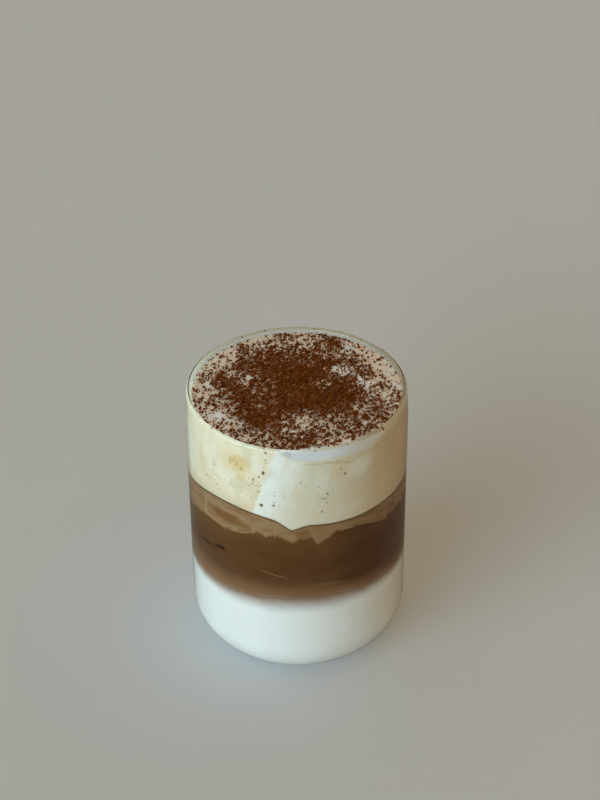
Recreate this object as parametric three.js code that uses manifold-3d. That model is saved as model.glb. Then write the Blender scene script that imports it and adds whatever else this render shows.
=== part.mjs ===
// A layered latte in a plain glass tumbler: white milk at the bottom, coffee in the middle,
// thick milk foam on top, and coarse cocoa dusted over the foam.
// Millimetres, +Z up. The origin is the middle of the base, on the surface that the glass stands on,
// and -Y is the front, where a small tongue of foam hangs down into the coffee.
import * as THREE from "three";
import { mergeVertices } from "three/addons/utils/BufferGeometryUtils.js";
import Module from "manifold-3d";

const wasm = await Module();
wasm.setup();

// Driving dimensions
const GLASS_HEIGHT = 100;
const GLASS_RADIUS = 37.5; // outside, on the straight wall
const RIM_RADIUS = 37.05; // outside, at the lip
const RIM_TURN = 12; // height over which the wall leans in to the lip
const WALL = 1.7;
const FLOOR = 2.6; // thickness of the glass under the milk
const CORNER = 15.5; // outside radius between wall and base
const GAP = 0.3; // clearance between neighbouring pieces

const MILK_LEVEL = 36.4; // mean height of the milk's top
const FOAM_LEVEL = 70.4; // mean height of the foam's underside
const FOAM_EDGE = 98.7; // height of the foam's top where it meets the glass
const FOAM_DOME = 0.3; // rise of the foam from its edge to its middle
const FOAM_SHOULDER = 0.7; // radius of the foam's rounded upper edge

// The tongue of foam that hangs down in front: its place and half width in degrees, its depth at the wall,
// how far in from the wall it reaches, and how pointed it is
const TONGUE = { azimuth: -3, halfWidth: 10, depth: 3.1, reach: 12, point: 1.4 };

// Soft waves of a layer's edge: height, number of waves round the glass, and the azimuth of a crest
const MILK_WAVES = [
  { height: 0.9, count: 1, crest: 25 },
  { height: 1.3, count: 2, crest: 8 },
];
const FOAM_WAVES = [
  { height: 0.55, count: 1, crest: -51 },
  { height: 1.25, count: 2, crest: -33 },
  { height: 1.07, count: 3, crest: -35.5 },
  { height: 0.66, count: 4, crest: 41 },
];

// Swells and dips of the foam's top: place, width of the bell and height
const FOAM_SWELLS = [
  { x: 14, y: 15, width: 5, height: 0.6 },
  { x: 25, y: 6, width: 4.5, height: 0.6 },
  { x: 17, y: 4, width: 6, height: -0.7 },
  { x: -26, y: -13, width: 5, height: 0.5 },
  { x: 4, y: -23, width: 6, height: 0.5 },
  { x: -17, y: 10, width: 6, height: 0.4 },
  { x: -7, y: -8, width: 8, height: -0.5 },
];

const COCOA = {
  count: 155,
  seed: 7,
  smallest: 0.45, // half width of a crumb
  largest: 0.75,
  round: 0.65, // crumbs from this half width up have more faces
  spread: 33.5, // distance of the outermost crumb from the middle
  crowding: 0.57, // 0.5 is even, and more lies closer together in the middle
  stray: 0.3, // most that a crumb strays round the middle, in radians
  flat: 0.75, // height as a share of the width
  uneven: 0.2, // most that a width departs from the crumb's size, as a share of it
  tilt: 0.5, // steepest lean, in radians
  proud: 0.15, // height of a crumb's middle above the foam, as a share of its size
};

const SEGMENTS = 64; // flats round every piece
const ARC_STEPS = 7; // flats in a quarter round
const SHOULDER_STEPS = 4; // flats in the foam's rounded edge
const LIP_STEPS = 6; // flats over the rounded lip
const LEAN_STEPS = 3; // flats up the part of the wall that leans in
const MILK_RINGS = 4; // rings of facets where the milk meets the coffee
const COFFEE_RINGS = 6; // rings of facets where the coffee meets the foam
const FOAM_RINGS = 9; // rings of facets on the foam's top, inside its rounded edge

// Sizes worked out from the driving dimensions
const INNER_RADIUS = GLASS_RADIUS - WALL;
const INNER_CORNER = CORNER - WALL;
const LIP_RADIUS = WALL / 2;
const DRINK_RADIUS = INNER_RADIUS - GAP;
const DRINK_CORNER = INNER_CORNER - GAP;
const RIM_LEAN = GLASS_RADIUS - RIM_RADIUS;

const smooth = (t) => t * t * (3 - 2 * t);

// Azimuth in degrees: 0 at the front (-Y), positive towards +X.
const azimuthOf = (x, y) => THREE.MathUtils.radToDeg(Math.atan2(x, -y));

// How far the wall has leaned in at a height.
const leanAt = (z) => {
  const start = GLASS_HEIGHT - RIM_TURN;
  return RIM_LEAN * smooth(THREE.MathUtils.clamp((z - start) / RIM_TURN, 0, 1));
};

// Points of a quarter round that starts level and ends upright, bulging out and down.
function quarterRound(centreRadius, centreHeight, radius, steps = ARC_STEPS) {
  return Array.from({ length: steps + 1 }, (_, i) => {
    const angle = (i / steps) * (Math.PI / 2);
    return new THREE.Vector2(
      centreRadius + radius * Math.sin(angle),
      centreHeight - radius * Math.cos(angle),
    );
  });
}

// A profile of (radius, height) turned about the Z axis.
function turned(profile) {
  return new THREE.LatheGeometry(profile, SEGMENTS).rotateX(Math.PI / 2);
}

// The tumbler: flat base, round corner, straight wall leaning in a little, round lip, and the same inside.
function glassGeometry() {
  const lipCentre = new THREE.Vector2(RIM_RADIUS - LIP_RADIUS, GLASS_HEIGHT - LIP_RADIUS);
  const leanStep = (RIM_TURN - LIP_RADIUS) / LEAN_STEPS;
  const lean = Array.from({ length: LEAN_STEPS }, (_, i) => GLASS_HEIGHT - RIM_TURN + leanStep * i);
  const outside = [
    new THREE.Vector2(0, 0),
    ...quarterRound(GLASS_RADIUS - CORNER, CORNER, CORNER),
    ...lean.map((z) => new THREE.Vector2(GLASS_RADIUS - leanAt(z), z)),
  ];
  const lip = Array.from({ length: LIP_STEPS + 1 }, (_, i) => {
    const angle = (i / LIP_STEPS) * Math.PI;
    return new THREE.Vector2(
      lipCentre.x + LIP_RADIUS * Math.cos(angle),
      lipCentre.y + LIP_RADIUS * Math.sin(angle),
    );
  });
  const inside = [
    ...lean.map((z) => new THREE.Vector2(INNER_RADIUS - leanAt(z), z)).reverse(),
    ...quarterRound(INNER_RADIUS - INNER_CORNER, FLOOR + INNER_CORNER, INNER_CORNER).reverse(),
    new THREE.Vector2(0, FLOOR),
  ];
  return turned([...outside, ...lip, ...inside]);
}

// Splits every four-sided facet of a turned piece along its other diagonal.
function splitOtherWay(geometry) {
  const corners = geometry.index.array;
  for (let i = 0; i < corners.length; i += 6) {
    const [a, b, d, c] = corners.slice(i, i + 4);
    corners.set([a, b, c, a, c, d], i);
  }
  return geometry;
}

// A layer of the drink between two surfaces, each given as a height over (x, y).
// The lathe is one unit high: its lower face is laid on the lower surface, its upper face on the upper one.
function layerGeometry(lowerRadii, upperRadii, lower, upper) {
  const profile = [
    ...lowerRadii.map((r) => new THREE.Vector2(r, 0)),
    ...upperRadii.toReversed().map((r) => new THREE.Vector2(r, 1)),
  ];
  const geometry = turned(profile);
  const position = geometry.getAttribute("position");
  for (let i = 0; i < position.count; i++) {
    const [x, y, share] = [position.getX(i), position.getY(i), position.getZ(i)];
    const low = lower(x, y);
    position.setZ(i, low + (upper(x, y) - low) * share);
  }
  return geometry;
}

// Waves fade out towards the middle of the drink.
function waveHeight(waves, x, y) {
  const share = Math.min(1, Math.hypot(x, y) / DRINK_RADIUS) ** 2;
  return waves.reduce((sum, wave) => {
    const turn = THREE.MathUtils.degToRad(wave.count * (azimuthOf(x, y) - wave.crest));
    return sum + wave.height * Math.cos(turn) * share;
  }, 0);
}

// Depth of the tongue of foam: pointed at its tip, and thinning out behind the wall.
function tongueDepth(x, y) {
  const aside = 1 - Math.abs(azimuthOf(x, y) - TONGUE.azimuth) / TONGUE.halfWidth;
  const outward = 1 - (DRINK_RADIUS - Math.hypot(x, y)) / TONGUE.reach;
  return aside > 0 && outward > 0 ? TONGUE.depth * aside ** TONGUE.point * smooth(outward) : 0;
}

const milkTop = (x, y) => MILK_LEVEL + waveHeight(MILK_WAVES, x, y);
const foamUnderside = (x, y) => FOAM_LEVEL + waveHeight(FOAM_WAVES, x, y) - tongueDepth(x, y);

// The foam's top: a low dome with soft swells, rounded off at its edge.
function foamTop(x, y) {
  const radius = Math.hypot(x, y);
  const dome = FOAM_DOME * (1 - (radius / DRINK_RADIUS) ** 2);
  const swells = FOAM_SWELLS.reduce((sum, swell) => {
    const away = Math.hypot(x - swell.x, y - swell.y) / swell.width;
    return sum + swell.height * Math.exp(-away * away);
  }, 0);
  const overEdge = Math.max(0, radius - (DRINK_RADIUS - RIM_LEAN - FOAM_SHOULDER));
  const shoulder = FOAM_SHOULDER - Math.sqrt(Math.max(0, FOAM_SHOULDER ** 2 - overEdge ** 2));
  return FOAM_EDGE + dome + swells - shoulder;
}

// The milk rests on the glass: its underside follows the floor and the round corner.
function milkUnderside(x, y) {
  const outward = Math.max(0, Math.hypot(x, y) - (DRINK_RADIUS - DRINK_CORNER));
  const rise = DRINK_CORNER - Math.sqrt(Math.max(0, DRINK_CORNER ** 2 - outward ** 2));
  return FLOOR + GAP + rise;
}

// Radii of the rings of facets on an open face, from the axis to its edge.
const rings = (count, edge) => Array.from({ length: count + 1 }, (_, i) => (edge * i) / count);

function milkGeometry() {
  const corner = quarterRound(DRINK_RADIUS - DRINK_CORNER, 0, DRINK_CORNER).map((point) => point.x);
  const over = rings(MILK_RINGS, DRINK_RADIUS);
  return layerGeometry([0, ...corner], over, milkUnderside, (x, y) => milkTop(x, y) - GAP / 2);
}

// The coffee has the same rings as the milk and the foam where it meets them. Its facets are split the
// other way, because its lower face meets the milk's upper one, and its upper face the foam's lower one.
function coffeeGeometry() {
  const under = rings(MILK_RINGS, DRINK_RADIUS);
  const over = rings(COFFEE_RINGS, DRINK_RADIUS);
  const lower = (x, y) => milkTop(x, y) + GAP / 2;
  const upper = (x, y) => foamUnderside(x, y) - GAP / 2;
  return splitOtherWay(layerGeometry(under, over, lower, upper));
}

function foamGeometry() {
  const edge = DRINK_RADIUS - RIM_LEAN;
  const shoulder = quarterRound(edge - FOAM_SHOULDER, 0, FOAM_SHOULDER, SHOULDER_STEPS);
  const over = [...rings(FOAM_RINGS, edge - FOAM_SHOULDER), ...shoulder.slice(1).map((point) => point.x)];
  const lower = (x, y) => foamUnderside(x, y) + GAP / 2;
  return layerGeometry(rings(COFFEE_RINGS, DRINK_RADIUS), over, lower, foamTop);
}

// A seeded source of numbers from 0 to 1.
function seededDraw(seed) {
  let state = seed;
  return () => {
    state = (state * 48271) % 2147483647;
    return state / 2147483647;
  };
}

// A closed geometry as a solid that can be joined to others.
function solidOf(geometry) {
  const bare = geometry.clone();
  bare.deleteAttribute("normal");
  bare.deleteAttribute("uv");
  const merged = mergeVertices(bare, 1e-3);
  return new wasm.Manifold(
    new wasm.Mesh({
      numProp: 3,
      vertProperties: merged.getAttribute("position").array,
      triVerts: new Uint32Array(merged.index.array),
    }),
  );
}

function geometryOf(solid) {
  const mesh = solid.getMesh();
  const geometry = new THREE.BufferGeometry();
  geometry.setAttribute("position", new THREE.BufferAttribute(mesh.vertProperties, 3));
  geometry.setIndex(new THREE.BufferAttribute(mesh.triVerts, 1));
  geometry.computeVertexNormals();
  return geometry;
}

// One crumb of cocoa: an uneven lump, wider than it is high.
function crumbGeometry(draw, size) {
  const Lump = size < COCOA.round ? THREE.OctahedronGeometry : THREE.IcosahedronGeometry;
  const stretch = () => 1 + COCOA.uneven * (2 * draw() - 1);
  const crumb = new Lump(size).scale(stretch(), stretch(), COCOA.flat);
  return crumb.rotateX(COCOA.tilt * draw()).rotateZ(2 * Math.PI * draw());
}

// The crumbs follow a spiral of even spacing, a little disturbed, and lie closer together in the middle.
function dustedWithCocoa(foam) {
  const draw = seededDraw(COCOA.seed);
  const goldenAngle = Math.PI * (3 - Math.sqrt(5));
  let dusted = solidOf(foam);
  for (let i = 0; i < COCOA.count; i++) {
    const outward = ((i + 0.5) / COCOA.count) ** COCOA.crowding * COCOA.spread;
    const angle = i * goldenAngle + COCOA.stray * draw();
    const [x, y] = [outward * Math.cos(angle), outward * Math.sin(angle)];
    const size = THREE.MathUtils.lerp(COCOA.smallest, COCOA.largest, draw());
    const crumb = crumbGeometry(draw, size).translate(x, y, foamTop(x, y) + COCOA.proud * size);
    dusted = dusted.add(solidOf(crumb));
  }
  return geometryOf(dusted);
}

const FINISHES = {
  glass: { color: 0xe8efec, roughness: 0.04, metalness: 0, transparent: true, opacity: 0.3 },
  milk: { color: 0xe6eae4, roughness: 0.35, metalness: 0 },
  coffee: { color: 0x5d4128, roughness: 0.3, metalness: 0 },
  foam: { color: 0xdcd2b8, roughness: 0.6, metalness: 0 },
};

// One named mesh for each piece of the drink.
function piece(name, geometry) {
  const mesh = new THREE.Mesh(geometry, new THREE.MeshStandardMaterial(FINISHES[name]));
  mesh.name = name;
  return mesh;
}

const latte = new THREE.Group();
latte.name = "latte";
latte.add(
  piece("glass", glassGeometry()),
  piece("milk", milkGeometry()),
  piece("coffee", coffeeGeometry()),
  piece("foam", dustedWithCocoa(foamGeometry())),
);

export default latte;
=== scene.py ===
# A layered latte in a clear tumbler: milk, coffee and milk foam, with cocoa dusted over the foam.
# Sizes are in millimetres and become metres where the mesh is made. -Y is the front, +Z is up.
import math

import bpy
import numpy as np
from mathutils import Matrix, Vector, noise
from mathutils.bvhtree import BVHTree


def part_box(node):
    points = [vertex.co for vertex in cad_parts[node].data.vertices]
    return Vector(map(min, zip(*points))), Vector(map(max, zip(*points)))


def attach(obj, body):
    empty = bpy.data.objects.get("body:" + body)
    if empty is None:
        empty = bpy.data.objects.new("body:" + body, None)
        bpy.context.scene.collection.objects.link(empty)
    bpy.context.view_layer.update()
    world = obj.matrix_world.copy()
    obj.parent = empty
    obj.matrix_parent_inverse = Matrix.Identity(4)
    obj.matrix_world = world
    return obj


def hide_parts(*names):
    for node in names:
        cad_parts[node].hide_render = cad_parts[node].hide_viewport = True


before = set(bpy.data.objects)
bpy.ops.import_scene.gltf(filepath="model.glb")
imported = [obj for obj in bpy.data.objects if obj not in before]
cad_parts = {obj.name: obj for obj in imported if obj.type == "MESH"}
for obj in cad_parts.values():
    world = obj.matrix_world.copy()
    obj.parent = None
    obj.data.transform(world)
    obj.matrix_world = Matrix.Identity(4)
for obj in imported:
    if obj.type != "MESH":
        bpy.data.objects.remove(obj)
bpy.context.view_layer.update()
mm = 0.001

tumbler = {
    "radius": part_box("glass")[1].x / mm,
    "height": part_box("glass")[1].z / mm,
    "wall": 1.7,
    "floor": 2.6,  # glass under the milk
    "corner": 15.5,  # outside radius between wall and base
    "lean": 0.45,  # how far the wall leans in at the lip
    "leanHeight": 12.0,
    "steps": 192,  # round the glass
    "arcSteps": 18,
    "leanSteps": 7,
    "lipSteps": 14,
    "clear": (0.965, 0.985, 0.975, 1),
    "passing": (0.95, 0.965, 0.955, 1),  # what is left of light that goes straight through
    "roughness": 0.004,
    "smears": 0.03,  # how much rougher it is where it is smeared
}
innerRadius = tumbler["radius"] - tumbler["wall"]
mmPerDegree = math.radians(1) * innerRadius  # round the inside of the wall

drink = {
    "intoWall": 0.25,  # how far the layers reach into the glass, so that no air shows between them
    "milkLevel": 36.4,
    "milkWaves": [(0.9, 1, 25), (1.3, 2, 8)],  # height, waves round the glass, azimuth of a crest
    "foamLevel": 70.4,  # the foam's underside
    "foamWaves": [(0.55, 1, -51), (1.25, 2, -33), (1.07, 3, -35.5), (0.66, 4, 41)],
    "overlap": 0.4,  # the coffee runs on this far into the milk and the foam
    "steps": 320,  # round every layer
    "rings": 12,  # across the faces that lie inside the drink
    "frontFade": 6.0,  # marks that only the front has fade out over this depth at the sides
}

# the small tongue of foam that hangs into the coffee in front
tongue = {"azimuth": -3.0, "halfWidth": 10.0, "depth": 3.1, "reach": 12.0, "point": 1.4}


def smooth(t):
    t = np.clip(t, 0, 1)
    return t * t * (3 - 2 * t)


def fade(value, start, end):  # 0 up to the start, 1 from the end on
    return smooth((value - start) / (end - start))


def azimuthOf(x, y):  # degrees, 0 at the front and positive towards +X
    return np.degrees(np.arctan2(x, -y))


def bells(x, y, places):  # places are (x, y, width, height)
    total = np.zeros_like(x)
    for px, py, width, height in places:
        total = total + height * np.exp(-((x - px) ** 2 + (y - py) ** 2) / width**2)
    return total


def waveHeight(waves, x, y):  # waves fade out towards the middle of the drink
    share = np.minimum(1, np.hypot(x, y) / innerRadius) ** 2
    total = np.zeros_like(x)
    for height, count, crest in waves:
        total = total + height * np.cos(np.radians(count * (azimuthOf(x, y) - crest))) * share
    return total


def milkTop(x, y):
    return drink["milkLevel"] + waveHeight(drink["milkWaves"], x, y)


def foamUnderside(x, y):
    aside = np.clip(1 - np.abs(azimuthOf(x, y) - tongue["azimuth"]) / tongue["halfWidth"], 0, 1)
    outward = 1 - (innerRadius - np.hypot(x, y)) / tongue["reach"]
    hanging = tongue["depth"] * aside ** tongue["point"] * smooth(outward)
    return drink["foamLevel"] + waveHeight(drink["foamWaves"], x, y) - hanging


def leanAt(z):
    start = tumbler["height"] - tumbler["leanHeight"]
    return tumbler["lean"] * smooth((z - start) / tumbler["leanHeight"])


# Modelling helpers

def arcPoints(centre, radius, start, end, steps):  # degrees, 0 outwards and 90 up
    angles = np.radians(np.linspace(start, end, steps + 1))
    return [(centre[0] + radius * math.cos(a), centre[1] + radius * math.sin(a)) for a in angles]


def turnOutline(name, outline, steps):  # an outline of (radius, height), spun about the Z axis
    bpy.ops.object.select_all(action="DESELECT")
    bpy.ops.mesh.primitive_plane_add(size=mm)
    turned = bpy.context.object
    turned.name = name
    bpy.ops.object.mode_set(mode="EDIT")
    bpy.ops.mesh.merge(type="CENTER")
    bpy.ops.transform.translate(value=(outline[0][0] * mm, 0, outline[0][1] * mm))
    for (r0, z0), (r1, z1) in zip(outline, outline[1:]):
        step = ((r1 - r0) * mm, 0, (z1 - z0) * mm)
        bpy.ops.mesh.extrude_vertices_move(TRANSFORM_OT_translate={"value": step})
    bpy.ops.mesh.select_all(action="SELECT")
    bpy.ops.mesh.spin(steps=steps, angle=2 * math.pi, center=(0, 0, 0), axis=(0, 0, 1))
    bpy.ops.mesh.select_all(action="SELECT")
    bpy.ops.mesh.remove_doubles(threshold=0.002 * mm)
    bpy.ops.mesh.normals_make_consistent(inside=False)
    bpy.ops.object.mode_set(mode="OBJECT")
    bpy.ops.object.shade_smooth()
    return turned


def readPoints(piece):
    points = np.empty(len(piece.data.vertices) * 3)
    piece.data.vertices.foreach_get("co", points)
    return points.reshape(-1, 3) / mm


def writePoints(piece, points):
    piece.data.vertices.foreach_set("co", (points * mm).ravel())
    piece.data.update()


def storeValues(piece, name, values):
    kept = piece.data.attributes.new(name, "FLOAT", "POINT")
    kept.data.foreach_set("value", np.asarray(values, np.float32))


def applyModifier(piece, modifier):
    bpy.context.view_layer.objects.active = piece
    bpy.ops.object.modifier_apply(modifier=modifier.name)


def roughen(piece, group, size, strength):  # soft cloudy relief on the vertices of a group
    cloud = bpy.data.textures.new(f"{piece.name}Lumps", "CLOUDS")
    cloud.noise_scale = size * mm
    relief = piece.modifiers.new("lumps", "DISPLACE")
    relief.texture = cloud
    relief.texture_coords = "LOCAL"
    relief.vertex_group = group
    relief.mid_level = 0.5
    relief.strength = strength * mm
    applyModifier(piece, relief)


def handOver(piece, material, slot, *nodes):
    piece.data.materials.clear()
    piece.data.materials.append(material)
    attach(piece, "root")
    if nodes:
        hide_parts(*nodes)


# Materials: a wrapped socket makes shader maths read as maths

class Shade:
    def __init__(self, finish, socket):
        self.finish = finish
        self.socket = socket

    def math(self, operation, *others):
        values = dict(enumerate((self, *others)))
        return self.finish.node("ShaderNodeMath", {"operation": operation}, values)

    def __add__(self, other):
        return self.math("ADD", other)

    def __sub__(self, other):
        return self.math("SUBTRACT", other)

    def __rsub__(self, other):
        return (self * -1).math("ADD", other)

    def __mul__(self, other):
        return self.math("MULTIPLY", other)

    def __truediv__(self, other):
        return self.math("DIVIDE", other)

    __radd__ = __add__
    __rmul__ = __mul__

    def ease(self, low, high):  # 0 below low, 1 above high, soft in between
        ranged = {"Value": self, "From Min": low, "From Max": high}
        return self.finish.node("ShaderNodeMapRange", {"interpolation_type": "SMOOTHSTEP"}, ranged)

    def near(self, middle, reach):  # 1 at the middle, 0 from reach away
        return 1 - (self - middle).math("ABSOLUTE").ease(0, reach)


class Finish:
    def __init__(self, owner, coordinate="Object", ending="ShaderNodeOutputMaterial"):
        self.owner = owner
        self.ending = ending
        owner.use_nodes = True
        self.tree = owner.node_tree
        self.tree.nodes.clear()
        self.place = self.node("ShaderNodeTexCoord", out=coordinate)

    def node(self, kind, settings=None, values=None, out=0):
        made = self.tree.nodes.new(kind)
        for key, setting in (settings or {}).items():
            setattr(made, key, setting)
        for key, value in (values or {}).items():
            if isinstance(value, Shade):
                self.tree.links.new(value.socket, made.inputs[key])
            else:
                made.inputs[key].default_value = value
        return Shade(self, made.outputs[out])

    def mix(self, share, first, second, blend="MIX"):
        settings = {"data_type": "RGBA", "blend_type": blend}
        return self.node("ShaderNodeMix", settings, {0: share, 6: first, 7: second}, out=2)

    def stretched(self, x, y, z):  # the piece's own coordinates in millimetres, scaled along each axis
        scale = (x / mm, y / mm, z / mm)
        return self.node("ShaderNodeMapping", values={"Vector": self.place, "Scale": scale})

    def cloud(self, size, detail=3.0, rough=0.55, stretch=(1, 1, 1), twist=0.0):
        where = self.stretched(*(s / size for s in stretch))
        values = {"Vector": where, "Scale": 1.0}
        values |= {"Detail": detail, "Roughness": rough, "Distortion": twist}
        return self.node("ShaderNodeTexNoise", values=values, out="Fac")

    def dots(self, spacing, size, share):  # round dots in some of the cells of a scattered pattern
        where = self.stretched(1 / spacing, 1 / spacing, 1 / spacing)
        cells = self.node("ShaderNodeTexVoronoi", values={"Vector": where, "Scale": 1.0}, out="Distance")
        colour = Shade(self, cells.socket.node.outputs["Color"])
        drawn = self.node("ShaderNodeSeparateColor", values={0: colour})
        return (1 - cells.ease(size * 0.6, size)) * drawn.ease(1 - share, 1.001 - share)

    # millimetres round the wall and up, then 1 in front and 0 behind; the back mirrors the front
    def wall(self):
        parts = self.node("ShaderNodeSeparateXYZ", values={0: self.place})
        x, y, z = (Shade(self, s) for s in parts.socket.node.outputs)
        around = x.math("ARCTAN2", y.math("ABSOLUTE")) * innerRadius
        return around, z / mm, 1 - y.ease(-drink["frontFade"] * mm, 0)

    # soft ovals, each with its azimuth, height, half length, half width, turn in degrees and share
    def marks(self, around, height, places):
        total = None
        for azimuth, level, length, width, turn, share in places:
            c, s = math.cos(math.radians(turn)), math.sin(math.radians(turn))
            across, up = around - azimuth * mmPerDegree, height - level
            along = (across * c + up * s) / length
            beside = (up * c - across * s) / width
            oval = (1 - (along * along + beside * beside).ease(0.1, 1.0)) * share
            total = oval if total is None else total.math("MAXIMUM", oval)
        return total

    def kept(self, name):  # a value stored on the mesh
        return self.node("ShaderNodeAttribute", {"attribute_name": name}, out="Fac")

    def bump(self, height, strength, distance):
        values = {"Height": height, "Strength": strength, "Distance": distance * mm}
        return self.node("ShaderNodeBump", values=values)

    def surface(self, **values):
        sockets = {key.replace("_", " "): value for key, value in values.items()}
        return self.node("ShaderNodeBsdfPrincipled", values=sockets)

    def mixShader(self, share, first, second):
        return self.node("ShaderNodeMixShader", values={0: share, 1: first, 2: second})

    def close(self, shader):
        last = self.tree.nodes.new(self.ending)
        self.tree.links.new(shader.socket, last.inputs["Surface"])
        return self.owner


def newFinish(name):
    return Finish(bpy.data.materials.new(name))


def linear(level):  # one channel of a screen colour, 0 to 255
    share = level / 255
    return share / 12.92 if share < 0.04 else ((share + 0.055) / 1.055) ** 2.4


def tint(red, green, blue):  # a colour picked on a screen
    return linear(red), linear(green), linear(blue), 1


# Glass

def tumblerFinish():
    finish = newFinish("clearGlass")
    smears = finish.cloud(9.0, stretch=(1, 1, 0.35)).ease(0.55, 0.75)
    glass = finish.surface(
        Base_Color=tumbler["clear"],
        Roughness=tumbler["roughness"] + smears * tumbler["smears"],
        IOR=1.5,
        Transmission_Weight=1.0,
    )
    passing = finish.node("ShaderNodeBsdfTransparent", values={"Color": tumbler["passing"]})
    # light that falls on the drink, or comes back from it, goes straight through
    diffuseRay = finish.node("ShaderNodeLightPath", out="Is Diffuse Ray")
    shadowRay = finish.node("ShaderNodeLightPath", out="Is Shadow Ray")
    seen = finish.mixShader(diffuseRay, glass, passing)
    return finish.close(finish.mixShader(shadowRay, seen, passing))


def makeTumbler():
    radius, height, corner = tumbler["radius"], tumbler["height"], tumbler["corner"]
    lip = tumbler["wall"] / 2
    leaning = np.linspace(height - tumbler["leanHeight"], height - lip, tumbler["leanSteps"] + 1)[:-1]
    outside = [(0, 0), *arcPoints((radius - corner, corner), corner, -90, 0, tumbler["arcSteps"])]
    outside += [(radius - leanAt(z), z) for z in leaning]
    rim = arcPoints((radius - tumbler["lean"] - lip, height - lip), lip, 0, 180, tumbler["lipSteps"])
    inside = [(innerRadius - leanAt(z), z) for z in leaning[::-1]]
    inCorner = corner - tumbler["wall"]
    bowlCentre = (innerRadius - inCorner, tumbler["floor"] + inCorner)
    bowl = arcPoints(bowlCentre, inCorner, 0, -90, tumbler["arcSteps"])
    outline = [*outside, *rim, *inside, *bowl, (0, tumbler["floor"])]
    piece = turnOutline("tumbler", outline, tumbler["steps"])
    handOver(piece, tumblerFinish(), "glass", "glass")
    print("tumbler", len(piece.data.polygons), "faces")


# Drink: every layer is turned one unit high, then its lower and upper faces are laid on their surfaces

def layLayer(piece, lower, upper):
    points = readPoints(piece)
    x, y, share = points.T
    points[:, 2] = lower(x, y) + (upper(x, y) - lower(x, y)) * share
    writePoints(piece, points)
    return points


def rings(edge, count):
    return np.linspace(0, edge, count + 1)


milk = {
    "white": tint(245, 246, 244),
    "cream": tint(242, 242, 237),
    "mixed": tint(135, 98, 67),
    "whiteToMixed": (-8.2, 1.6),  # heights over the middle of the fade from milk to coffee
    "mixedToCoffee": (0.0, 7.0),
    "sharper": 0.8,  # how much shorter the fade is at the sides than in front
    "longer": 0.35,  # and how much longer its brown part is on the left
    "leftRise": 0.9,  # how much higher it lies there
    "swirl": 2.2,  # how far the fade wanders up and down
    "glow": 2.0,  # how far light spreads under the surface
    "sideSteps": 8,
}


def fadeHeight(x, y, z):
    side = np.sin(np.radians(azimuthOf(x, y))) ** 2
    over = z - milkTop(x, y) - milk["leftRise"] * side * (x < 0)
    brownOnLeft = (over > 0) & (x < 0)
    return over * np.where(brownOnLeft, 1 - milk["longer"] * side, 1 + milk["sharper"] * side)


def fadedColour(finish, coffeeColour):  # the soft change from milk to coffee, shared by both layers
    swirl = finish.cloud(8.0, stretch=(1, 1, 2.2)) - 0.5
    height = finish.kept("overMilk") + swirl * milk["swirl"]
    mottled = finish.mix(finish.cloud(16.0).ease(0.35, 0.7), milk["white"], milk["cream"])
    blended = finish.mix(height.ease(*milk["whiteToMixed"]), mottled, milk["mixed"])
    return finish.mix(height.ease(*milk["mixedToCoffee"]), blended, coffeeColour)


def milkFinish():
    finish = newFinish("wholeMilk")
    colour = fadedColour(finish, milk["mixed"])
    return finish.close(finish.surface(
        Base_Color=colour, Roughness=0.5, Specular_IOR_Level=0.0,
        Subsurface_Weight=1.0, Subsurface_Radius=(1, 1, 1), Subsurface_Scale=milk["glow"] * mm,
    ))


def makeMilk():
    edge = innerRadius + drink["intoWall"]
    corner = tumbler["corner"] - tumbler["wall"] + drink["intoWall"]
    bottom = tumbler["floor"] - drink["intoWall"]
    bend = arcPoints((edge - corner, 0), corner, -90, 0, tumbler["arcSteps"])
    base = [(0, 0), *((r, 0) for r, z in bend)]
    side = [(edge, share) for share in np.linspace(0, 1, milk["sideSteps"] + 1)[1:]]
    top = [(r, 1) for r in rings(edge, drink["rings"])[-2::-1]]
    piece = turnOutline("milkLayer", [*base, *side, *top], drink["steps"])

    def underside(x, y):
        outward = np.maximum(0, np.hypot(x, y) - (edge - corner))
        return bottom + corner - np.sqrt(np.maximum(0, corner**2 - outward**2))

    x, y, z = layLayer(piece, underside, milkTop).T
    storeValues(piece, "overMilk", fadeHeight(x, y, z))
    handOver(piece, milkFinish(), "milk", "milk")
    print("milk", len(piece.data.polygons), "faces")


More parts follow.
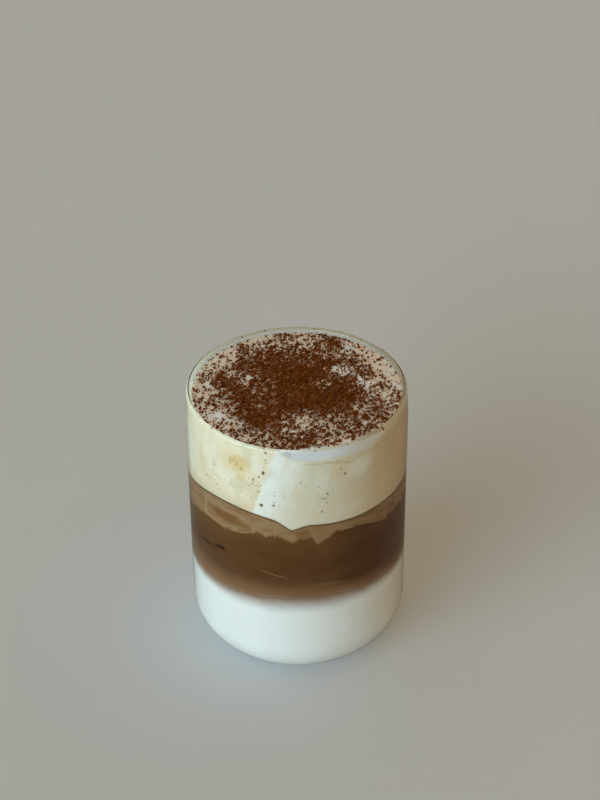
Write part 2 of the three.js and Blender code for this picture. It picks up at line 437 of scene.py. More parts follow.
coffee = {
    "dark": tint(94, 60, 33),
    "deep": tint(82, 47, 14),
    "low": tint(103, 71, 46),  # just above the milk
    "lowHeight": (1.0, 11.0),
    "veil": tint(160, 128, 93),  # paler coffee under the foam
    "veilDeep": tint(126, 85, 46),
    "wisp": tint(182, 150, 114),
    "shadowUnderFoam": tint(66, 44, 20),  # painted shadow: a thin dark line below the foam
    "streak": tint(26, 9, 1),
    "inset": 0.03,  # it lies this far behind the milk and the foam where they overlap
    "sideSteps": 48,
    "wander": 2.0,  # how far the marks are drawn out of line
    "drips": 4.0,  # how far the veil's edge runs up and down
    "veilFade": (-0.6, 1.2),  # heights over the veil's edge
    "veilShare": 0.9,
    "milkyFade": (-9, 0.5),  # the coffee just below the veil is milkier
    "milkyShare": 0.3,
    "milkyUpTo": (5, 25),  # millimetres round the wall, where it ends on the right
    "shadowFade": (0.25, 0.9),  # depths below the foam over which the painted shadow fades
    "shadowShare": 0.7,
    "veilEdge": [  # azimuth and height along the veil's lower edge
        (-77, 58.8), (-55, 62.5), (-38, 62), (-24.7, 64.4), (-17, 64.1), (-11, 64.8), (-4, 62.4),
        (7, 64.3), (11, 61.8), (20, 64.8), (32, 65.4), (43, 63.3), (53, 61.3), (62, 61.5),
    ],
    # azimuth, height, half length, half width, turn and share of each mark on the wall
    "deepMarks": [
        (-41, 67.2, 9.0, 2.2, 0, 1), (-36, 66.2, 9.0, 1.6, 2, 0.8), (45, 66.5, 7, 1.0, -12, 0.5),
        (2.5, 65.6, 3.2, 2.6, 0, 0.7), (58, 65.5, 4, 1.2, -20, 0.6),
    ],
    "paleMarks": [
        (-56, 66.0, 5.6, 0.6, 88, 0.65), (-47, 62.9, 6, 0.5, -3, 0.55), (-31.5, 63.2, 5.5, 0.5, 14, 0.5),
        (-32.8, 70.0, 4.6, 0.7, -12, 0.35), (-23.2, 66.2, 1.7, 0.35, 90, 0.5),
        (-16.8, 65.2, 1.7, 0.35, 90, 0.5), (-11.9, 65.4, 1.6, 0.35, 90, 0.4),
        (26, 65.6, 4.2, 0.4, -1, 0.5), (38, 64.4, 4, 0.4, -18, 0.5), (50, 62.0, 4.5, 0.45, -16, 0.5),
        (-12.3, 48.2, 6.5, 0.35, -15, 0.3), (18, 43.4, 8, 0.8, -7, 0.12),
    ],
    "darkMarks": [(42, 53, 17, 8, 0, 0.8), (36, 44.5, 14, 4.5, 12, 0.8)],
    "streaks": [
        (-58, 50.1, 6.5, 0.6, 12, 0.85), (-48.2, 52.1, 1.6, 0.8, -10, 1), (-44.4, 52.5, 2.2, 1.0, -4, 1),
        (-52, 49, 3, 0.8, 10, 0.25),
    ],
}


def overVeil(x, y, z):  # height over the veil's lower edge, the same behind as in front
    azimuths, heights = np.array(coffee["veilEdge"]).T
    return z - np.interp(azimuthOf(x, -np.abs(y)), azimuths, heights)


def coffeeFinish():
    finish = newFinish("milkyCoffee")
    around, height, front = finish.wall()
    underFoam = finish.kept("underFoam")
    layered = finish.cloud(18.0, detail=4.0, stretch=(1, 1, 3.0), twist=0.8)
    colour = finish.mix(layered.ease(0.2, 0.7), coffee["deep"], coffee["dark"])
    low = 1 - finish.kept("overMilk").ease(*coffee["lowHeight"])
    colour = finish.mix(low, colour, coffee["low"])
    warped = around + (finish.cloud(5.0) - 0.5) * coffee["wander"]
    colour = finish.mix(finish.marks(warped, height, coffee["darkMarks"]), colour, coffee["deep"])
    streaks = finish.marks(warped, height, coffee["streaks"]) * front
    colour = finish.mix(streaks, colour, coffee["streak"])

    drips = (finish.cloud(2.6, detail=3.0, stretch=(1, 1, 0.3)) - 0.5) * coffee["drips"]
    overEdge = finish.kept("overVeil") + drips
    folds = finish.cloud(9.0, detail=4.0, stretch=(1, 1, 2.4), twist=1.2).ease(0.38, 0.62)
    veil = finish.mix(folds * 0.5, coffee["veil"], coffee["veilDeep"])
    milky = finish.kept("overVeil").ease(*coffee["milkyFade"]) * (1 - around.ease(*coffee["milkyUpTo"]))
    colour = finish.mix(milky * coffee["milkyShare"], colour, coffee["veilDeep"])
    colour = finish.mix(overEdge.ease(*coffee["veilFade"]) * coffee["veilShare"], colour, veil)
    lifted = height + (finish.cloud(6.0) - 0.5) * coffee["wander"]
    colour = finish.mix(finish.marks(warped, lifted, coffee["deepMarks"]), colour, coffee["veilDeep"])
    hem = overEdge.near(0.3, 0.9) * finish.cloud(5.0, detail=2.0).ease(0.42, 0.66)  # broken and pale
    colour = finish.mix(hem * 0.3, colour, coffee["wisp"])
    wisps = finish.marks(warped, lifted, coffee["paleMarks"]) * front
    colour = finish.mix(wisps, colour, coffee["wisp"])
    # painted shadow: darker just under the foam
    edge = (1 - underFoam.ease(*coffee["shadowFade"])) * coffee["shadowShare"]
    colour = finish.mix(edge, colour, coffee["shadowUnderFoam"])
    return finish.close(finish.surface(
        Base_Color=fadedColour(finish, colour), Roughness=0.5, Specular_IOR_Level=0.0,
    ))


def makeCoffee():
    edge = innerRadius + drink["intoWall"] - coffee["inset"]
    base = [(r, 0) for r in rings(edge, drink["rings"])]
    side = [(edge, share) for share in np.linspace(0, 1, coffee["sideSteps"] + 1)[1:]]
    top = [(r, 1) for r in rings(edge, drink["rings"])[-2::-1]]
    piece = turnOutline("coffeeLayer", [*base, *side, *top], drink["steps"])
    over = drink["overlap"]
    points = layLayer(piece, lambda x, y: milkTop(x, y) - over, lambda x, y: foamUnderside(x, y) + over)
    x, y, z = points.T
    storeValues(piece, "overMilk", fadeHeight(x, y, z))
    storeValues(piece, "underFoam", foamUnderside(x, y) - z)
    storeValues(piece, "overVeil", overVeil(x, y, z))
    handOver(piece, coffeeFinish(), "coffee", "coffee")
    print("coffee", len(piece.data.polygons), "faces")


foam = {
    "edge": 98.8,  # height of the top where it meets the glass
    "dome": 0.3,
    "shoulder": 0.5,  # radius of the rounded upper edge
    "swells": [  # x, y, width, height
        (14, 15, 5, 0.6), (25, 6, 4.5, 0.6), (17, 4, 6, -0.7), (-26, -13, 5, 0.5),
        (4, -23, 6, 0.5), (-17, 10, 6, 0.4), (-7, -8, 8, -0.5), (-31, -17, 7, 0.4), (-22, -28, 7, 0.4),
    ],
    "sideSteps": 49,
    "shoulderSteps": 5,
    "topRings": 72,
    "lumpSize": 2.4,
    "lumpHeight": 0.7,
    "lumpFade": 2.0,  # the lumps die out over this width at the edge
    "glow": 1.2,  # how far light spreads under the surface
    "white": tint(246, 246, 238),
    "middle": tint(229, 221, 200),
    "cream": tint(247, 233, 206),
    "beige": tint(230, 211, 180),
    "ochre": tint(232, 204, 146),
    "olive": tint(214, 206, 170),
    "tan": tint(219, 198, 165),
    "fleck": tint(196, 168, 116),
    "hem": tint(244, 226, 192),  # thin line where the foam meets the coffee
    "top": tint(252, 230, 216),
    "stained": tint(204, 150, 120),  # the top under the heaps, between the grains
    "bareAndHighlit": tint(252, 248, 252),  # patches of the top with little cocoa, partly painted highlight
    # the foam in the gap under the rim: white, with a cool painted light
    "inGap": tint(234, 234, 240),
    "dust": tint(106, 56, 20),
    "litRimSide": tint(234, 232, 218),  # painted light: the wall just under the rim, behind, lighter as if light came through the foam from its top
    "litRimSideRight": tint(216, 226, 238),  # cooler, because the light there is warm
    "litRimSideAzimuth": (72, 108),  # where it starts and is full, on both sides
    "litRimSideHeight": (92, 96),
    "litRimSideShare": 0.9,
    "edgeShade": tint(112, 110, 92),  # painted shade: a thin dark line where the top meets the glass, at the sides and behind
    "edgeShadeAzimuth": (50, 70),  # where it starts and is full, on both sides
    "edgeShadeIn": 0.2,  # how far in from the edge it runs
    "edgeShadeHalf": 0.06,  # half its width
    "edgeShadeShare": 0.7,
    "topBlend": (0.1, 0.5),  # the top's colour starts over this width in from the edge
    "bandTop": (-7.6, 96.7),  # a point on the white band's left edge, and how it leans
    "bandLean": 0.31,
    "bandSoft": (-0.7, 0.7),  # millimetres over which that edge is soft
    "middleFrom": (3, 15),  # millimetres from that edge
    "tanFrom": (8, 40),  # millimetres round the wall from the front, over which the tan, partly painted shade, comes in
    "tanBelow": (95.5, 97.5),  # heights
    "wander": 2.5,  # how far the marks are drawn out of line
    # azimuth, height, half length, half width, turn and share of each mark on the wall
    "stains": [
        (-34, 91.4, 8.0, 5.8, 0, 0.35), (-31.5, 91.4, 5.0, 4.4, 0, 0.8), (-30, 87.2, 2.2, 3, 0, 0.4),
    ],
    "flecks": [
        (-36.4, 91.1, 1.6, 0.5, 78, 0.7), (-34.2, 92.2, 1.4, 0.5, -20, 0.6),
        (-32.3, 91.2, 1.5, 0.5, 65, 0.6), (-29.9, 89.7, 0.7, 0.7, 0, 0.9),
        (8, 94.2, 5, 0.6, -3, 0.3), (16.5, 94, 2, 0.8, -8, 0.4),
        (21.5, 93.6, 2.5, 0.9, -8, 0.4), (26.2, 92.7, 1.8, 0.8, -15, 0.5), (44, 94.2, 2.6, 0.6, 41, 0.4),
    ],
    "shades": [
        (-59.3, 86, 7, 1.7, 86, 0.4), (-15, 89.3, 4.2, 1.5, 66, 0.4), (-22.7, 79.4, 4.2, 1.5, 78, 0.6),
        (-0.4, 82, 2.2, 4.2, 0, 0.3), (27.8, 79.5, 3, 5, 0, 0.4), (60, 80, 7, 9, 0, 0.6),
        (-52, 79, 8, 3, -12, 0.4), (-28, 83, 5, 2.5, 10, 0.4), (16, 76, 2.6, 5, 0, 0.3),
        (66, 91, 4, 5, 0, 0.5), (8.3, 74.2, 1.3, 3, 0, 0.5), (22, 90, 4.4, 5, 0, 0.7),
    ],
    "lights": [
        (-72, 83, 3.4, 13, 0, 0.6), (-49, 92, 5, 5, 0, 0.15), (-40, 84.5, 8, 3.5, -8, 0.15),
        (-21, 93, 3, 5, 0, 0.3), (34, 89.3, 6, 4.8, 25, 0.45), (12, 87, 3, 6, 0, 0.25),
        (30, 74, 9, 2.4, 12, 0.1),
    ],
}

# where the foam has come off the wall under the rim: azimuth and height along its lower edge
gapUnderRim = {
    "lowerEdge": [
        (-180, 96.2), (-110, 96.4), (-85, 98.2), (-70, 101), (-14, 101), (-9, 98.3), (-3.5, 95.6),
        (9, 94.5), (23, 94.6), (39, 93.9), (43, 94), (46, 95.2), (50, 96.6), (54, 98.6), (58, 101),
        (70, 101), (90, 98.6), (125, 98), (145, 96.4), (180, 96.2),
    ],
    "height": 4.8,  # from the lower edge to where it is deepest
    "depth": (1.9, 1.9, 2.4, 1.2, 1.9, 1.9),
    "depthAt": (-180, -60, 0, 50, 100, 180),  # azimuths of these depths
    "inward": (2 / 3, 1),  # shares of the radius over which it dies out towards the middle
    "whiteUpTo": 65,  # azimuth each way, in front, where the foam in it is white
}


def foamTop(x, y):
    radius = np.hypot(x, y)
    edge = innerRadius + drink["intoWall"] - tumbler["lean"]
    overEdge = np.clip(radius - (edge - foam["shoulder"]), 0, foam["shoulder"])
    shoulder = foam["shoulder"] - np.sqrt(foam["shoulder"] ** 2 - overEdge**2)
    dome = foam["dome"] * (1 - (radius / innerRadius) ** 2)
    return foam["edge"] + dome + bells(x, y, foam["swells"]) - shoulder


def gapShare(azimuth, z):  # 0 on the wall, 1 at the top of the gap
    low = np.interp(azimuth, *np.array(gapUnderRim["lowerEdge"]).T)
    return np.clip((z - low) / gapUnderRim["height"], 0, 1)


def gapDepth(azimuth):
    return np.interp(azimuth, gapUnderRim["depthAt"], gapUnderRim["depth"])


def foamEdge(azimuth):  # radius of the top
    edge = innerRadius + drink["intoWall"] - tumbler["lean"]
    return edge - gapShare(azimuth, foam["edge"]) * gapDepth(azimuth)


def foamFinish():
    finish = newFinish("milkFoam")
    around, height, front = finish.wall()
    overCoffee = finish.kept("overCoffee")
    warped = around + (finish.cloud(3.0) - 0.5) * foam["wander"]
    lifted = height + (finish.cloud(3.5) - 0.5) * foam["wander"]

    # on the wall: an unstained white band in the middle, cream to its left and tan to its right; the tan
    # is partly its own colour and partly painted shade on the side away from the light
    bandEdge = (height - foam["bandTop"][1]) * foam["bandLean"] + foam["bandTop"][0]
    beside = warped - bandEdge
    left = 1 - beside.ease(*foam["bandSoft"])
    right = warped.ease(*foam["tanFrom"])
    colour = finish.mix(beside.ease(*foam["middleFrom"]), foam["white"], foam["middle"])
    colour = finish.mix(right * (1 - height.ease(*foam["tanBelow"])), colour, foam["tan"])
    colour = finish.mix(left, colour, foam["cream"])

    # soft patches, small blots and runs, then the marks, the bubbles and the hem above the coffee
    soft = finish.cloud(7.0, detail=5.0, stretch=(1, 1, 0.6), twist=0.8).ease(0.42, 0.7)
    # beige patches and tan blots grow stronger to the right, partly as painted shade
    colour = finish.mix(soft * (0.3 + right * 0.4), colour, foam["beige"])
    small = finish.cloud(2.2, detail=4.0).ease(0.5, 0.75)
    colour = finish.mix(small * (0.15 + right * 0.2), colour, foam["tan"])
    runs = finish.cloud(5.0, detail=4.0, stretch=(1, 1, 0.4), twist=0.6).ease(0.46, 0.68)
    colour = finish.mix(runs * (0.2 + left * 0.25), colour, foam["olive"])
    colour = finish.mix((1 - overCoffee.ease(0.5, 6.0)) * (left * 0.8 + 0.1), colour, foam["beige"])
    colour = finish.mix(finish.marks(warped, lifted, foam["shades"]), colour, foam["beige"])
    colour = finish.mix(finish.marks(warped, lifted, foam["lights"]), colour, foam["white"])
    stains = finish.marks(warped, lifted, foam["stains"]) * front
    colour = finish.mix(stains, colour, foam["ochre"])
    flecks = finish.marks(warped, height, foam["flecks"]) * front
    colour = finish.mix(flecks, colour, foam["fleck"])
    speckled = finish.cloud(10.0, detail=2.0).ease(0.5, 0.7) * 0.5
    bubbles = finish.dots(1.3, 0.3, 0.3) + finish.dots(0.7, 0.32, 0.25) * 0.7
    colour = finish.mix((bubbles * speckled).math("MINIMUM", 0.8), colour, foam["fleck"])
    colour = finish.mix((1 - overCoffee.ease(0.2, 0.8)) * 0.6, colour, foam["hem"])
    # painted light on the wall under the rim, behind, cooler on the right
    litRimSide = finish.mix(right, foam["litRimSide"], foam["litRimSideRight"])
    colour = finish.mix(finish.kept("litUnderRim") * foam["litRimSideShare"], colour, litRimSide)
    # the foam in the gap under the rim is white, with a cool painted light, and gives way to the tan
    # wall on the right as painted shade
    gap = finish.kept("offWall")
    colour = finish.mix(gap.ease(0.03, 0.25) * (1 - right), colour, foam["inGap"])

    # on the top: pinkish between the grains, brown under the heaps, white where little cocoa fell,
    # partly as painted highlight
    speckle = finish.cloud(0.9, detail=2.0).ease(0.35, 0.65)
    over = finish.mix(finish.kept("bareAndHighlitShare"), foam["top"], foam["bareAndHighlit"])
    dusty = finish.kept("cocoaShare").ease(0.65, 1.25)
    over = finish.mix(dusty, over, finish.mix(speckle, foam["stained"], foam["dust"]))
    colour = finish.mix(finish.kept("topShare"), colour, over)
    # painted shade in a thin line where the top meets the glass
    colour = finish.mix(finish.kept("edgeShade") * foam["edgeShadeShare"], colour, foam["edgeShade"])
    fine = finish.cloud(0.7, detail=3.0)
    return finish.close(finish.surface(
        Base_Color=colour, Roughness=0.6, Specular_IOR_Level=0.1, Normal=finish.bump(fine, 0.4, 0.3),
        Subsurface_Weight=1.0, Subsurface_Radius=(1, 1, 1), Subsurface_Scale=foam["glow"] * mm,
    ))


def makeFoam():
    edge = innerRadius + drink["intoWall"]
    topEdge = edge - tumbler["lean"]
    flatEdge = topEdge - foam["shoulder"]
    base = [(r, 0) for r in rings(edge, drink["rings"])]
    levels = np.linspace(0, 1, foam["sideSteps"] + 1)[1:-1]
    side = [(edge + (topEdge - edge) * share**3, share) for share in levels]
    bend = arcPoints((flatEdge, 0), foam["shoulder"], 0, 90, foam["shoulderSteps"])
    top = [(r, 1) for r in rings(flatEdge, foam["topRings"])[-2::-1]]
    outline = [*base, *side, *((r, 1) for r, z in bend), *top]
    piece = turnOutline("foamLayer", outline, drink["steps"])
    isTop = readPoints(piece)[:, 2] > 0.999
    points = layLayer(piece, foamUnderside, foamTop)
    x, y, z = points.T
    radius = np.hypot(x, y)
    azimuth = azimuthOf(x, y)
    gap = gapShare(azimuth, z) * fade(radius / innerRadius, *gapUnderRim["inward"])
    keep = 1 - gap * gapDepth(azimuth) / np.maximum(radius, 1)
    points[:, 0] *= keep
    points[:, 1] *= keep
    writePoints(piece, points)
    group = piece.vertex_groups.new(name="top")
    for i in np.flatnonzero(isTop):
        group.add([int(i)], float(fade(topEdge - radius[i], 0, foam["lumpFade"])), "REPLACE")
    roughen(piece, "top", foam["lumpSize"], foam["lumpHeight"])

    aside = np.abs(azimuth)
    storeValues(piece, "topShare", isTop * fade(topEdge - radius, *foam["topBlend"]))
    # a thin line of painted shade near the edge of the top
    edgeShadeLine = np.abs(topEdge - foam["edgeShadeIn"] - radius) < foam["edgeShadeHalf"]
    storeValues(piece, "edgeShade", edgeShadeLine * isTop * fade(aside, *foam["edgeShadeAzimuth"]) * (1 - gap))
    # where light is painted on the wall under the rim, behind
    behind = fade(aside, *foam["litRimSideAzimuth"])
    storeValues(piece, "litUnderRim", behind * fade(z, *foam["litRimSideHeight"]))
    white = (aside < gapUnderRim["whiteUpTo"]) & ~(isTop & (radius < flatEdge))
    storeValues(piece, "offWall", gap * white)
    storeValues(piece, "overCoffee", z - foamUnderside(x, y))
    storeValues(piece, "cocoaShare", cocoaCover(x, y))
    storeValues(piece, "bareAndHighlitShare", np.clip(cocoa["whiter"] * bells(x, y, cocoa["bareAndHighlit"]), 0, 1))
    handOver(piece, foamFinish(), "foam", "foam")
    print("foam", len(piece.data.polygons), "faces")
    return piece


# Cocoa: thousands of grains, joined into one mesh for each kind

cocoa = {
    "seed": 11,
    "heaps": [  # x, y, width, cover
        (10, -8, 15, 1.3), (-12, -15, 8, 1.3), (-4, 11, 15, 0.7), (0, -30, 9, 0.7), (16, 13, 7, 1.3),
        (14, 28, 4, 0.8), (-24, 9, 7, 1.1), (6, -25, 5, 0.5), (-19, -4, 4, 0.5),
    ],
    "hollows": [  # x, y, width, loss of cover
        (15, 11, 5, 1.3), (22, 0, 4, 0.4), (9, 1, 5, 0.8), (4, -21, 11, 1), (-27, 16, 6, 1.3),
        (-11, -12, 5, 0.7), (-20, -18, 7, 0.3), (24, 21, 15, 0.5), (-18, 34, 6, 1.3), (-22, 9, 3, 1.2),
        (-31, 4, 7, 0.4), (-16, 8, 4, 0.5), (18, -11, 7, 0.5), (30, -5, 6, 0.3), (31, 8, 5, 0.3),
        (0, 28, 8, 0.15),
    ],
    "thin": 0.44,  # cover where no heap lies
    "least": 0.18,
    "thick": 1.25,
    "bareAndHighlit": [  # x, y, width, loss; bare patches, with painted highlights among them near the right edge
        (18, 24, 1.9, 0.75), (12.9, 11.4, 1.2, 0.75), (16.4, 10.9, 1.3, 0.75), (18.7, 8.8, 1.1, 0.6),
        (10.4, 9.2, 1.1, 0.4), (21.9, 3.3, 1.3, 0.6), (23.4, 1.2, 1.1, 0.45), (23.8, -1.2, 1.2, 0.2),
        (-25.8, -15.3, 2.2, 0.75), (-21.6, -18, 2.0, 0.65), (-17.6, -21.3, 1.8, 0.55),
        (-29.6, 2, 1.6, 0.4), (-16.4, 5.8, 1.4, 0.4), (5.8, -20.3, 1.6, 0.4), (33.2, 11.2, 2.2, 0.9),
        (34, 0.8, 2.2, 0.9), (33, 17, 3, 0.6),
    ],
    "whiter": 1.8,  # how strongly the foam whitens there, as bare foam and painted highlight
    "spread": 35.4,
    "pastEdge": 0.3,  # grains lie this far past the edge of the foam's top
    "clumps": [(1.7, 3.1, 1.4), (5.0, 8.3, 0.5)],  # size of the clumps, level in the noise, strength
    "finer": 1.5,  # above 1 there are more small grains than large ones
    "lifted": 0.3,  # share of its half width that a grain's middle lies above the foam
    "stretch": (0.6, 1.45),
    "dents": (0.8, 1.2),
    "dark": tint(84, 37, 7),
    "light": tint(138, 77, 33),
}
# candidates, smallest and largest half width, faces, and how strongly it gathers in the heaps
cocoaGrains = {
    "cocoaDust": {"tries": 30000, "smallest": 0.13, "largest": 0.25, "faces": 12, "gather": 2.0},
    "cocoaCrumbs": {"tries": 8600, "smallest": 0.25, "largest": 0.46, "faces": 20, "gather": 1.0},
}


def cocoaCover(x, y):
    heaped = cocoa["thin"] + bells(x, y, cocoa["heaps"]) - bells(x, y, cocoa["hollows"])
    cover = np.clip(heaped, cocoa["least"], cocoa["thick"])
    return cover * (1 - np.clip(bells(x, y, cocoa["bareAndHighlit"]), 0, 1))


def grainShape(faces):  # 12 for a cube, 20 for an icosphere
    bpy.ops.object.select_all(action="DESELECT")
    if faces == 12:
        bpy.ops.mesh.primitive_cube_add(size=1.21)  # covers as much as a lump of radius 1
    else:
        bpy.ops.mesh.primitive_ico_sphere_add(subdivisions=1, radius=1)
    shape = bpy.context.object
    bpy.ops.object.mode_set(mode="EDIT")
    bpy.ops.mesh.quads_convert_to_tris()
    bpy.ops.object.mode_set(mode="OBJECT")
    corners = np.array([v.co for v in shape.data.vertices])
    triangles = np.array([p.vertices for p in shape.data.polygons])
    bpy.data.objects.remove(shape)
    return corners, triangles


def turnsFrom(draw, count):  # random rotations from unit quaternions
    quaternion = draw.normal(size=(4, count))
    w, x, y, z = quaternion / np.linalg.norm(quaternion, axis=0)
    rows = [
        [1 - 2 * (y * y + z * z), 2 * (x * y - z * w), 2 * (x * z + y * w)],
        [2 * (x * y + z * w), 1 - 2 * (x * x + z * z), 2 * (y * z - x * w)],
        [2 * (x * z - y * w), 2 * (y * z + x * w), 1 - 2 * (x * x + y * y)],
    ]
    return np.array(rows).transpose(2, 0, 1)


def cocoaFinish():
    finish = newFinish("cocoaPowder")
    colour = finish.mix(finish.kept("grainTone"), cocoa["dark"], cocoa["light"])
    return finish.close(finish.surface(Base_Color=colour, Roughness=0.9, Specular_IOR_Level=0.0))


# one joined mesh of uneven, turned lumps
def makeGrains(name, places, sizes, tones, faces, finish, draw):
    count = len(places)
    corners, triangles = grainShape(faces)
    stretch = draw.uniform(*cocoa["stretch"], (count, 3)) * sizes[:, None]
    lumps = corners[None] * draw.uniform(*cocoa["dents"], (count, len(corners), 1)) * stretch[:, None]
    lumps = np.einsum("nij,nkj->nki", turnsFrom(draw, count), lumps) + places[:, None]
    mesh = bpy.data.meshes.new(name)
    joined = (triangles[None] + (np.arange(count) * len(corners))[:, None, None]).reshape(-1, 3)
    mesh.from_pydata((lumps.reshape(-1, 3) * mm).tolist(), [], joined.tolist())
    piece = bpy.data.objects.new(name, mesh)
    bpy.context.collection.objects.link(piece)
    storeValues(piece, "grainTone", np.repeat(tones, len(corners)))
    handOver(piece, finish, "foam")
    print(name, count, "grains", len(joined), "faces")


def noiseOver(x, y, size, level):
    return np.array([noise.noise(Vector((a / size, b / size, level))) for a, b in zip(x, y)])


def scatterCocoa(name, kind, foamPiece, finish, draw):
    ground = BVHTree.FromObject(foamPiece, bpy.context.evaluated_depsgraph_get())
    radius = cocoa["spread"] * np.sqrt(draw.random(kind["tries"]))
    angle = 2 * math.pi * draw.random(kind["tries"])
    x, y = radius * np.cos(angle), radius * np.sin(angle)
    uneven = np.ones_like(x)
    for clump, level, strength in cocoa["clumps"]:
        uneven = uneven + strength * noiseOver(x, y, clump, level)
    cover = cocoaCover(x, y) * (radius < foamEdge(azimuthOf(x, y)) + cocoa["pastEdge"])
    kept = draw.random(kind["tries"]) < cover ** kind["gather"] * uneven
    x, y = x[kept], y[kept]
    above = 2 * tumbler["height"] * mm
    down = Vector((0, 0, -1))
    hits = [ground.ray_cast(Vector((a * mm, b * mm, above)), down)[0] for a, b in zip(x, y)]
    share = draw.random(len(x)) ** cocoa["finer"]
    size = kind["smallest"] + (kind["largest"] - kind["smallest"]) * share
    z = np.array([hit.z / mm for hit in hits]) + cocoa["lifted"] * size
    makeGrains(name, np.stack([x, y, z], 1), size, draw.random(len(x)), kind["faces"], finish, draw)


# single specks on the lip, and specks and bubbles between the foam and the wall
specks = {
    "onLip": [(180, 32, 18), (10, 40, 9), (-60, 50, 6)],  # azimuth, spread, count
    "lipSlope": 0.9,  # radians each way from the top of the lip
    "smallest": 0.12,
    "largest": 0.27,
    "dark": tint(138, 115, 80),
    "light": tint(204, 192, 160),
    # azimuth, height, spread of both, count
    "strewn": [(-22, 84, 3, 2.5, 12), (-45, 81, 8, 1.75, 16), (14, 78, 3, 2, 8)],
    "strewnSizes": (0.14, 0.26),
    "strewnTones": (0.5, 1),
    "sunk": 0.4,  # share of its half width that a speck's middle lies behind the foam's face
    "faces": 20,
    "onWall": [  # azimuth, height, half width, tone from dark to light
        (-16.1, 98, 0.42, 0.2), (-16.2, 95.3, 0.3, 0.3), (-16, 94, 0.26, 0.4), (-17.1, 92.2, 0.28, 0.3),
        (-17.4, 90.1, 0.6, 0.1), (-19.7, 88.3, 0.28, 0.3), (-23.1, 86.7, 0.42, 0.2),
        (-23.5, 84.8, 0.28, 0.3), (-25.3, 83.7, 0.22, 0.6), (-21.2, 84.5, 0.24, 0.5),
        (-47.6, 86.4, 0.4, 0.7), (-56.6, 81.1, 0.32, 0.7), (-53.6, 80.1, 0.3, 0.7),
        (-46.7, 82.6, 0.28, 0.7), (-45.7, 78.8, 0.34, 0.5), (-43.6, 78.5, 0.28, 0.6),
        (-36.6, 82, 0.32, 0.6), (-34.3, 81.4, 0.24, 0.7), (-29.8, 80.3, 0.28, 0.6),
        (-29.2, 82.2, 0.24, 0.7), (-18.9, 77, 0.55, 0.1), (-12.3, 77.6, 0.4, 0.1),
        (-12.1, 78.9, 0.28, 0.2), (-11.5, 83.2, 0.28, 0.4), (-11.6, 81.5, 0.28, 0.4),
        (-9.5, 77.9, 0.22, 0.4), (24.9, 88.4, 0.36, 0.2), (22.8, 90.8, 0.28, 0.3),
        (50.6, 86, 0.34, 0.1), (47.7, 84.4, 0.3, 0.2), (1.6, 87.2, 0.32, 0.6), (10.7, 85.1, 0.24, 0.6),
        (11.5, 80.3, 0.36, 0.1), (13.7, 80, 0.32, 0.2), (15.6, 81.8, 0.45, 0.2), (15, 78.3, 0.24, 0.4),
        (12.4, 74.9, 0.32, 0.2), (10, 74.6, 0.24, 0.4), (19.9, 71.7, 0.24, 0.4),
    ],
}


def makeSpecks(finish, draw):
    places = []
    lip = tumbler["wall"] / 2
    middle = tumbler["radius"] - tumbler["lean"] - lip
    for azimuth, spread, count in specks["onLip"]:
        for turn in np.radians(draw.normal(azimuth, spread, count)):
            slope = draw.uniform(-specks["lipSlope"], specks["lipSlope"])
            out = middle + lip * math.sin(slope)
            z = tumbler["height"] - lip + lip * math.cos(slope)
            places.append((out * math.sin(turn), -out * math.cos(turn), z))
    sizes = draw.uniform(specks["smallest"], specks["largest"], len(places))
    tones = draw.random(len(places))
    makeGrains("cocoaSpecks", np.array(places), sizes, tones, specks["faces"], finish, draw)


def wallFinish():
    finish = newFinish("wetSpecks")
    colour = finish.mix(finish.kept("grainTone"), specks["dark"], specks["light"])
    return finish.close(finish.surface(Base_Color=colour, Roughness=0.7, Specular_IOR_Level=0.0))


def makeWallSpecks(draw):
    listed = list(specks["onWall"])
    for azimuth, z, aside, up, count in specks["strewn"]:
        for turn, level in zip(draw.normal(azimuth, aside, count), draw.normal(z, up, count)):
            size = draw.uniform(*specks["strewnSizes"])
            listed.append((turn, level, size, draw.uniform(*specks["strewnTones"])))
    azimuth, z, sizes, tones = np.array(listed).T
    turn = np.radians(azimuth)
    out = innerRadius + drink["intoWall"] - leanAt(z) - sizes * specks["sunk"]
    front = np.stack([out * np.sin(turn), -out * np.cos(turn), z], 1)
    places = np.concatenate([front, front * (1, -1, 1)])  # the back mirrors the front
    sizes, tones = np.tile(sizes, 2), np.tile(tones, 2)
    makeGrains("wallSpecks", places, sizes, tones, specks["faces"], wallFinish(), draw)


# Stage

camera = {
    "place": (1.124, -515.083, 454.925),
    "aim": (1.124, 0, 94.26),
    "roll": -0.009,  # radians
    "lens": 84.33,
    "sensor": 36,
    "near": 10,
}


def makeCamera():
    eye = bpy.data.objects.new("camera", bpy.data.cameras.new("camera"))
    bpy.context.collection.objects.link(eye)
    eye.location = Vector(camera["place"]) * mm
    look = (Vector(camera["aim"]) - Vector(camera["place"])).to_track_quat("-Z", "Y").to_euler()
    eye.rotation_euler = look
    eye.rotation_euler.rotate_axis("Z", camera["roll"])
    eye.data.lens = camera["lens"]
    eye.data.sensor_width = camera["sensor"]
    eye.data.clip_start = camera["near"] * mm
    bpy.context.scene.camera = eye


floor = {
    "size": 6000,
    "pale": tint(218, 221, 227),
    "paler": tint(222, 225, 231),
    "mirrored": tint(148, 146, 142),  # as the glass reflects it, dimmer than it is
}


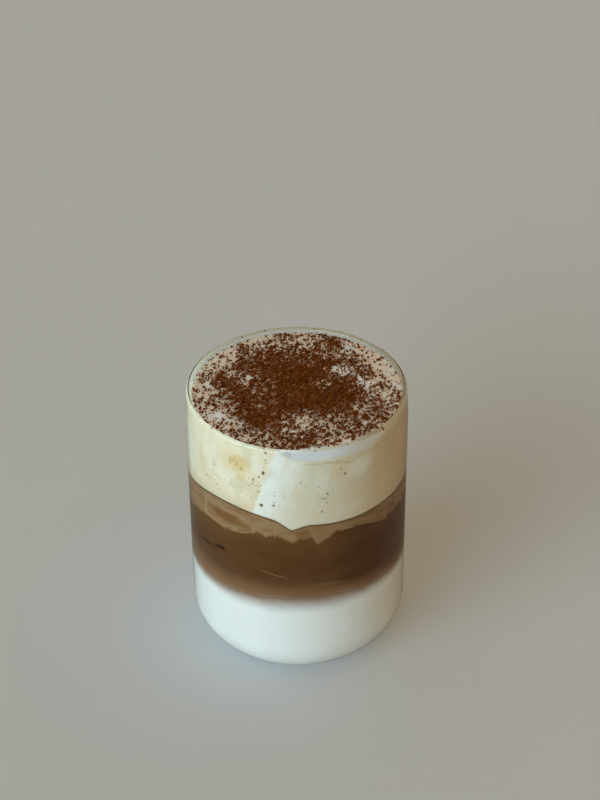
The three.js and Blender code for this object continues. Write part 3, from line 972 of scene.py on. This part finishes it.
def makeFloor():
    bpy.ops.object.select_all(action="DESELECT")
    bpy.ops.mesh.primitive_plane_add(size=floor["size"] * mm)
    ground = bpy.context.object
    ground.name = "floor"
    finish = newFinish("paleFloor")
    mottled = finish.mix(finish.cloud(120.0, detail=4.0), floor["pale"], floor["paler"])
    seen = finish.surface(Base_Color=mottled, Roughness=0.9)
    mirrored = finish.surface(Base_Color=floor["mirrored"], Roughness=0.9)
    glossyRay = finish.node("ShaderNodeLightPath", out="Is Glossy Ray")
    mirrorRay = finish.node("ShaderNodeLightPath", out="Is Reflection Ray")
    blended = finish.mixShader(glossyRay, seen, finish.mixShader(mirrorRay, seen, mirrored))
    ground.data.materials.append(finish.close(blended))


light = {
    "room": (0, 0, 0, 1),  # lights nothing
    "roomInGlass": (0.17, 0.175, 0.155, 1),  # but shows in the glass
    # azimuth, elevation, cosines to the middle where the glow starts and is full, share of it that
    # shows in the glass, colour
    "glows": [
        (-44.6, 1.1, 0.74, 0.98, 1, (4.5, 5.61, 6.17, 1)),  # a low cool window in front on the left
        (206, 41.5, 0.0, 0.9, 0, (0.438, 0.409, 0.323, 1)),  # a wide dim glow from behind
        (79.5, 0, -0.3, 0.95, 0.3, (0.419, 0.257, 0.087, 1)),  # a warm wall on the right
    ],
}


def makeLight():
    bpy.context.scene.world = bpy.data.worlds.new("room")
    sky = Finish(bpy.context.scene.world, "Generated", "ShaderNodeOutputWorld")
    glossyRay = sky.node("ShaderNodeLightPath", out="Is Glossy Ray")
    passingRay = sky.node("ShaderNodeLightPath", out="Is Transmission Ray")
    inGlass = glossyRay.math("MAXIMUM", passingRay)
    colour = sky.mix(inGlass, light["room"], light["roomInGlass"])
    for azimuth, elevation, start, full, share, glow in light["glows"]:
        a, e = math.radians(azimuth), math.radians(elevation)
        middle = (math.sin(a) * math.cos(e), -math.cos(a) * math.cos(e), math.sin(e))
        values = {0: sky.place, 1: middle}
        facing = sky.node("ShaderNodeVectorMath", {"operation": "DOT_PRODUCT"}, values, out="Value")
        seen = facing.ease(start, full) * (1 - inGlass * (1 - share))
        colour = sky.mix(seen, colour, glow, blend="ADD")
    sky.close(sky.node("ShaderNodeBackground", values={"Color": colour}))
    bpy.context.scene.view_settings.view_transform = "Standard"


makeCamera()
makeFloor()
makeLight()
makeTumbler()
makeMilk()
makeCoffee()
foamPiece = makeFoam()
grainDraw = np.random.default_rng(cocoa["seed"])
powder = cocoaFinish()
for kindName, kindSizes in cocoaGrains.items():
    scatterCocoa(kindName, kindSizes, foamPiece, powder, grainDraw)
makeSpecks(powder, grainDraw)
makeWallSpecks(grainDraw)
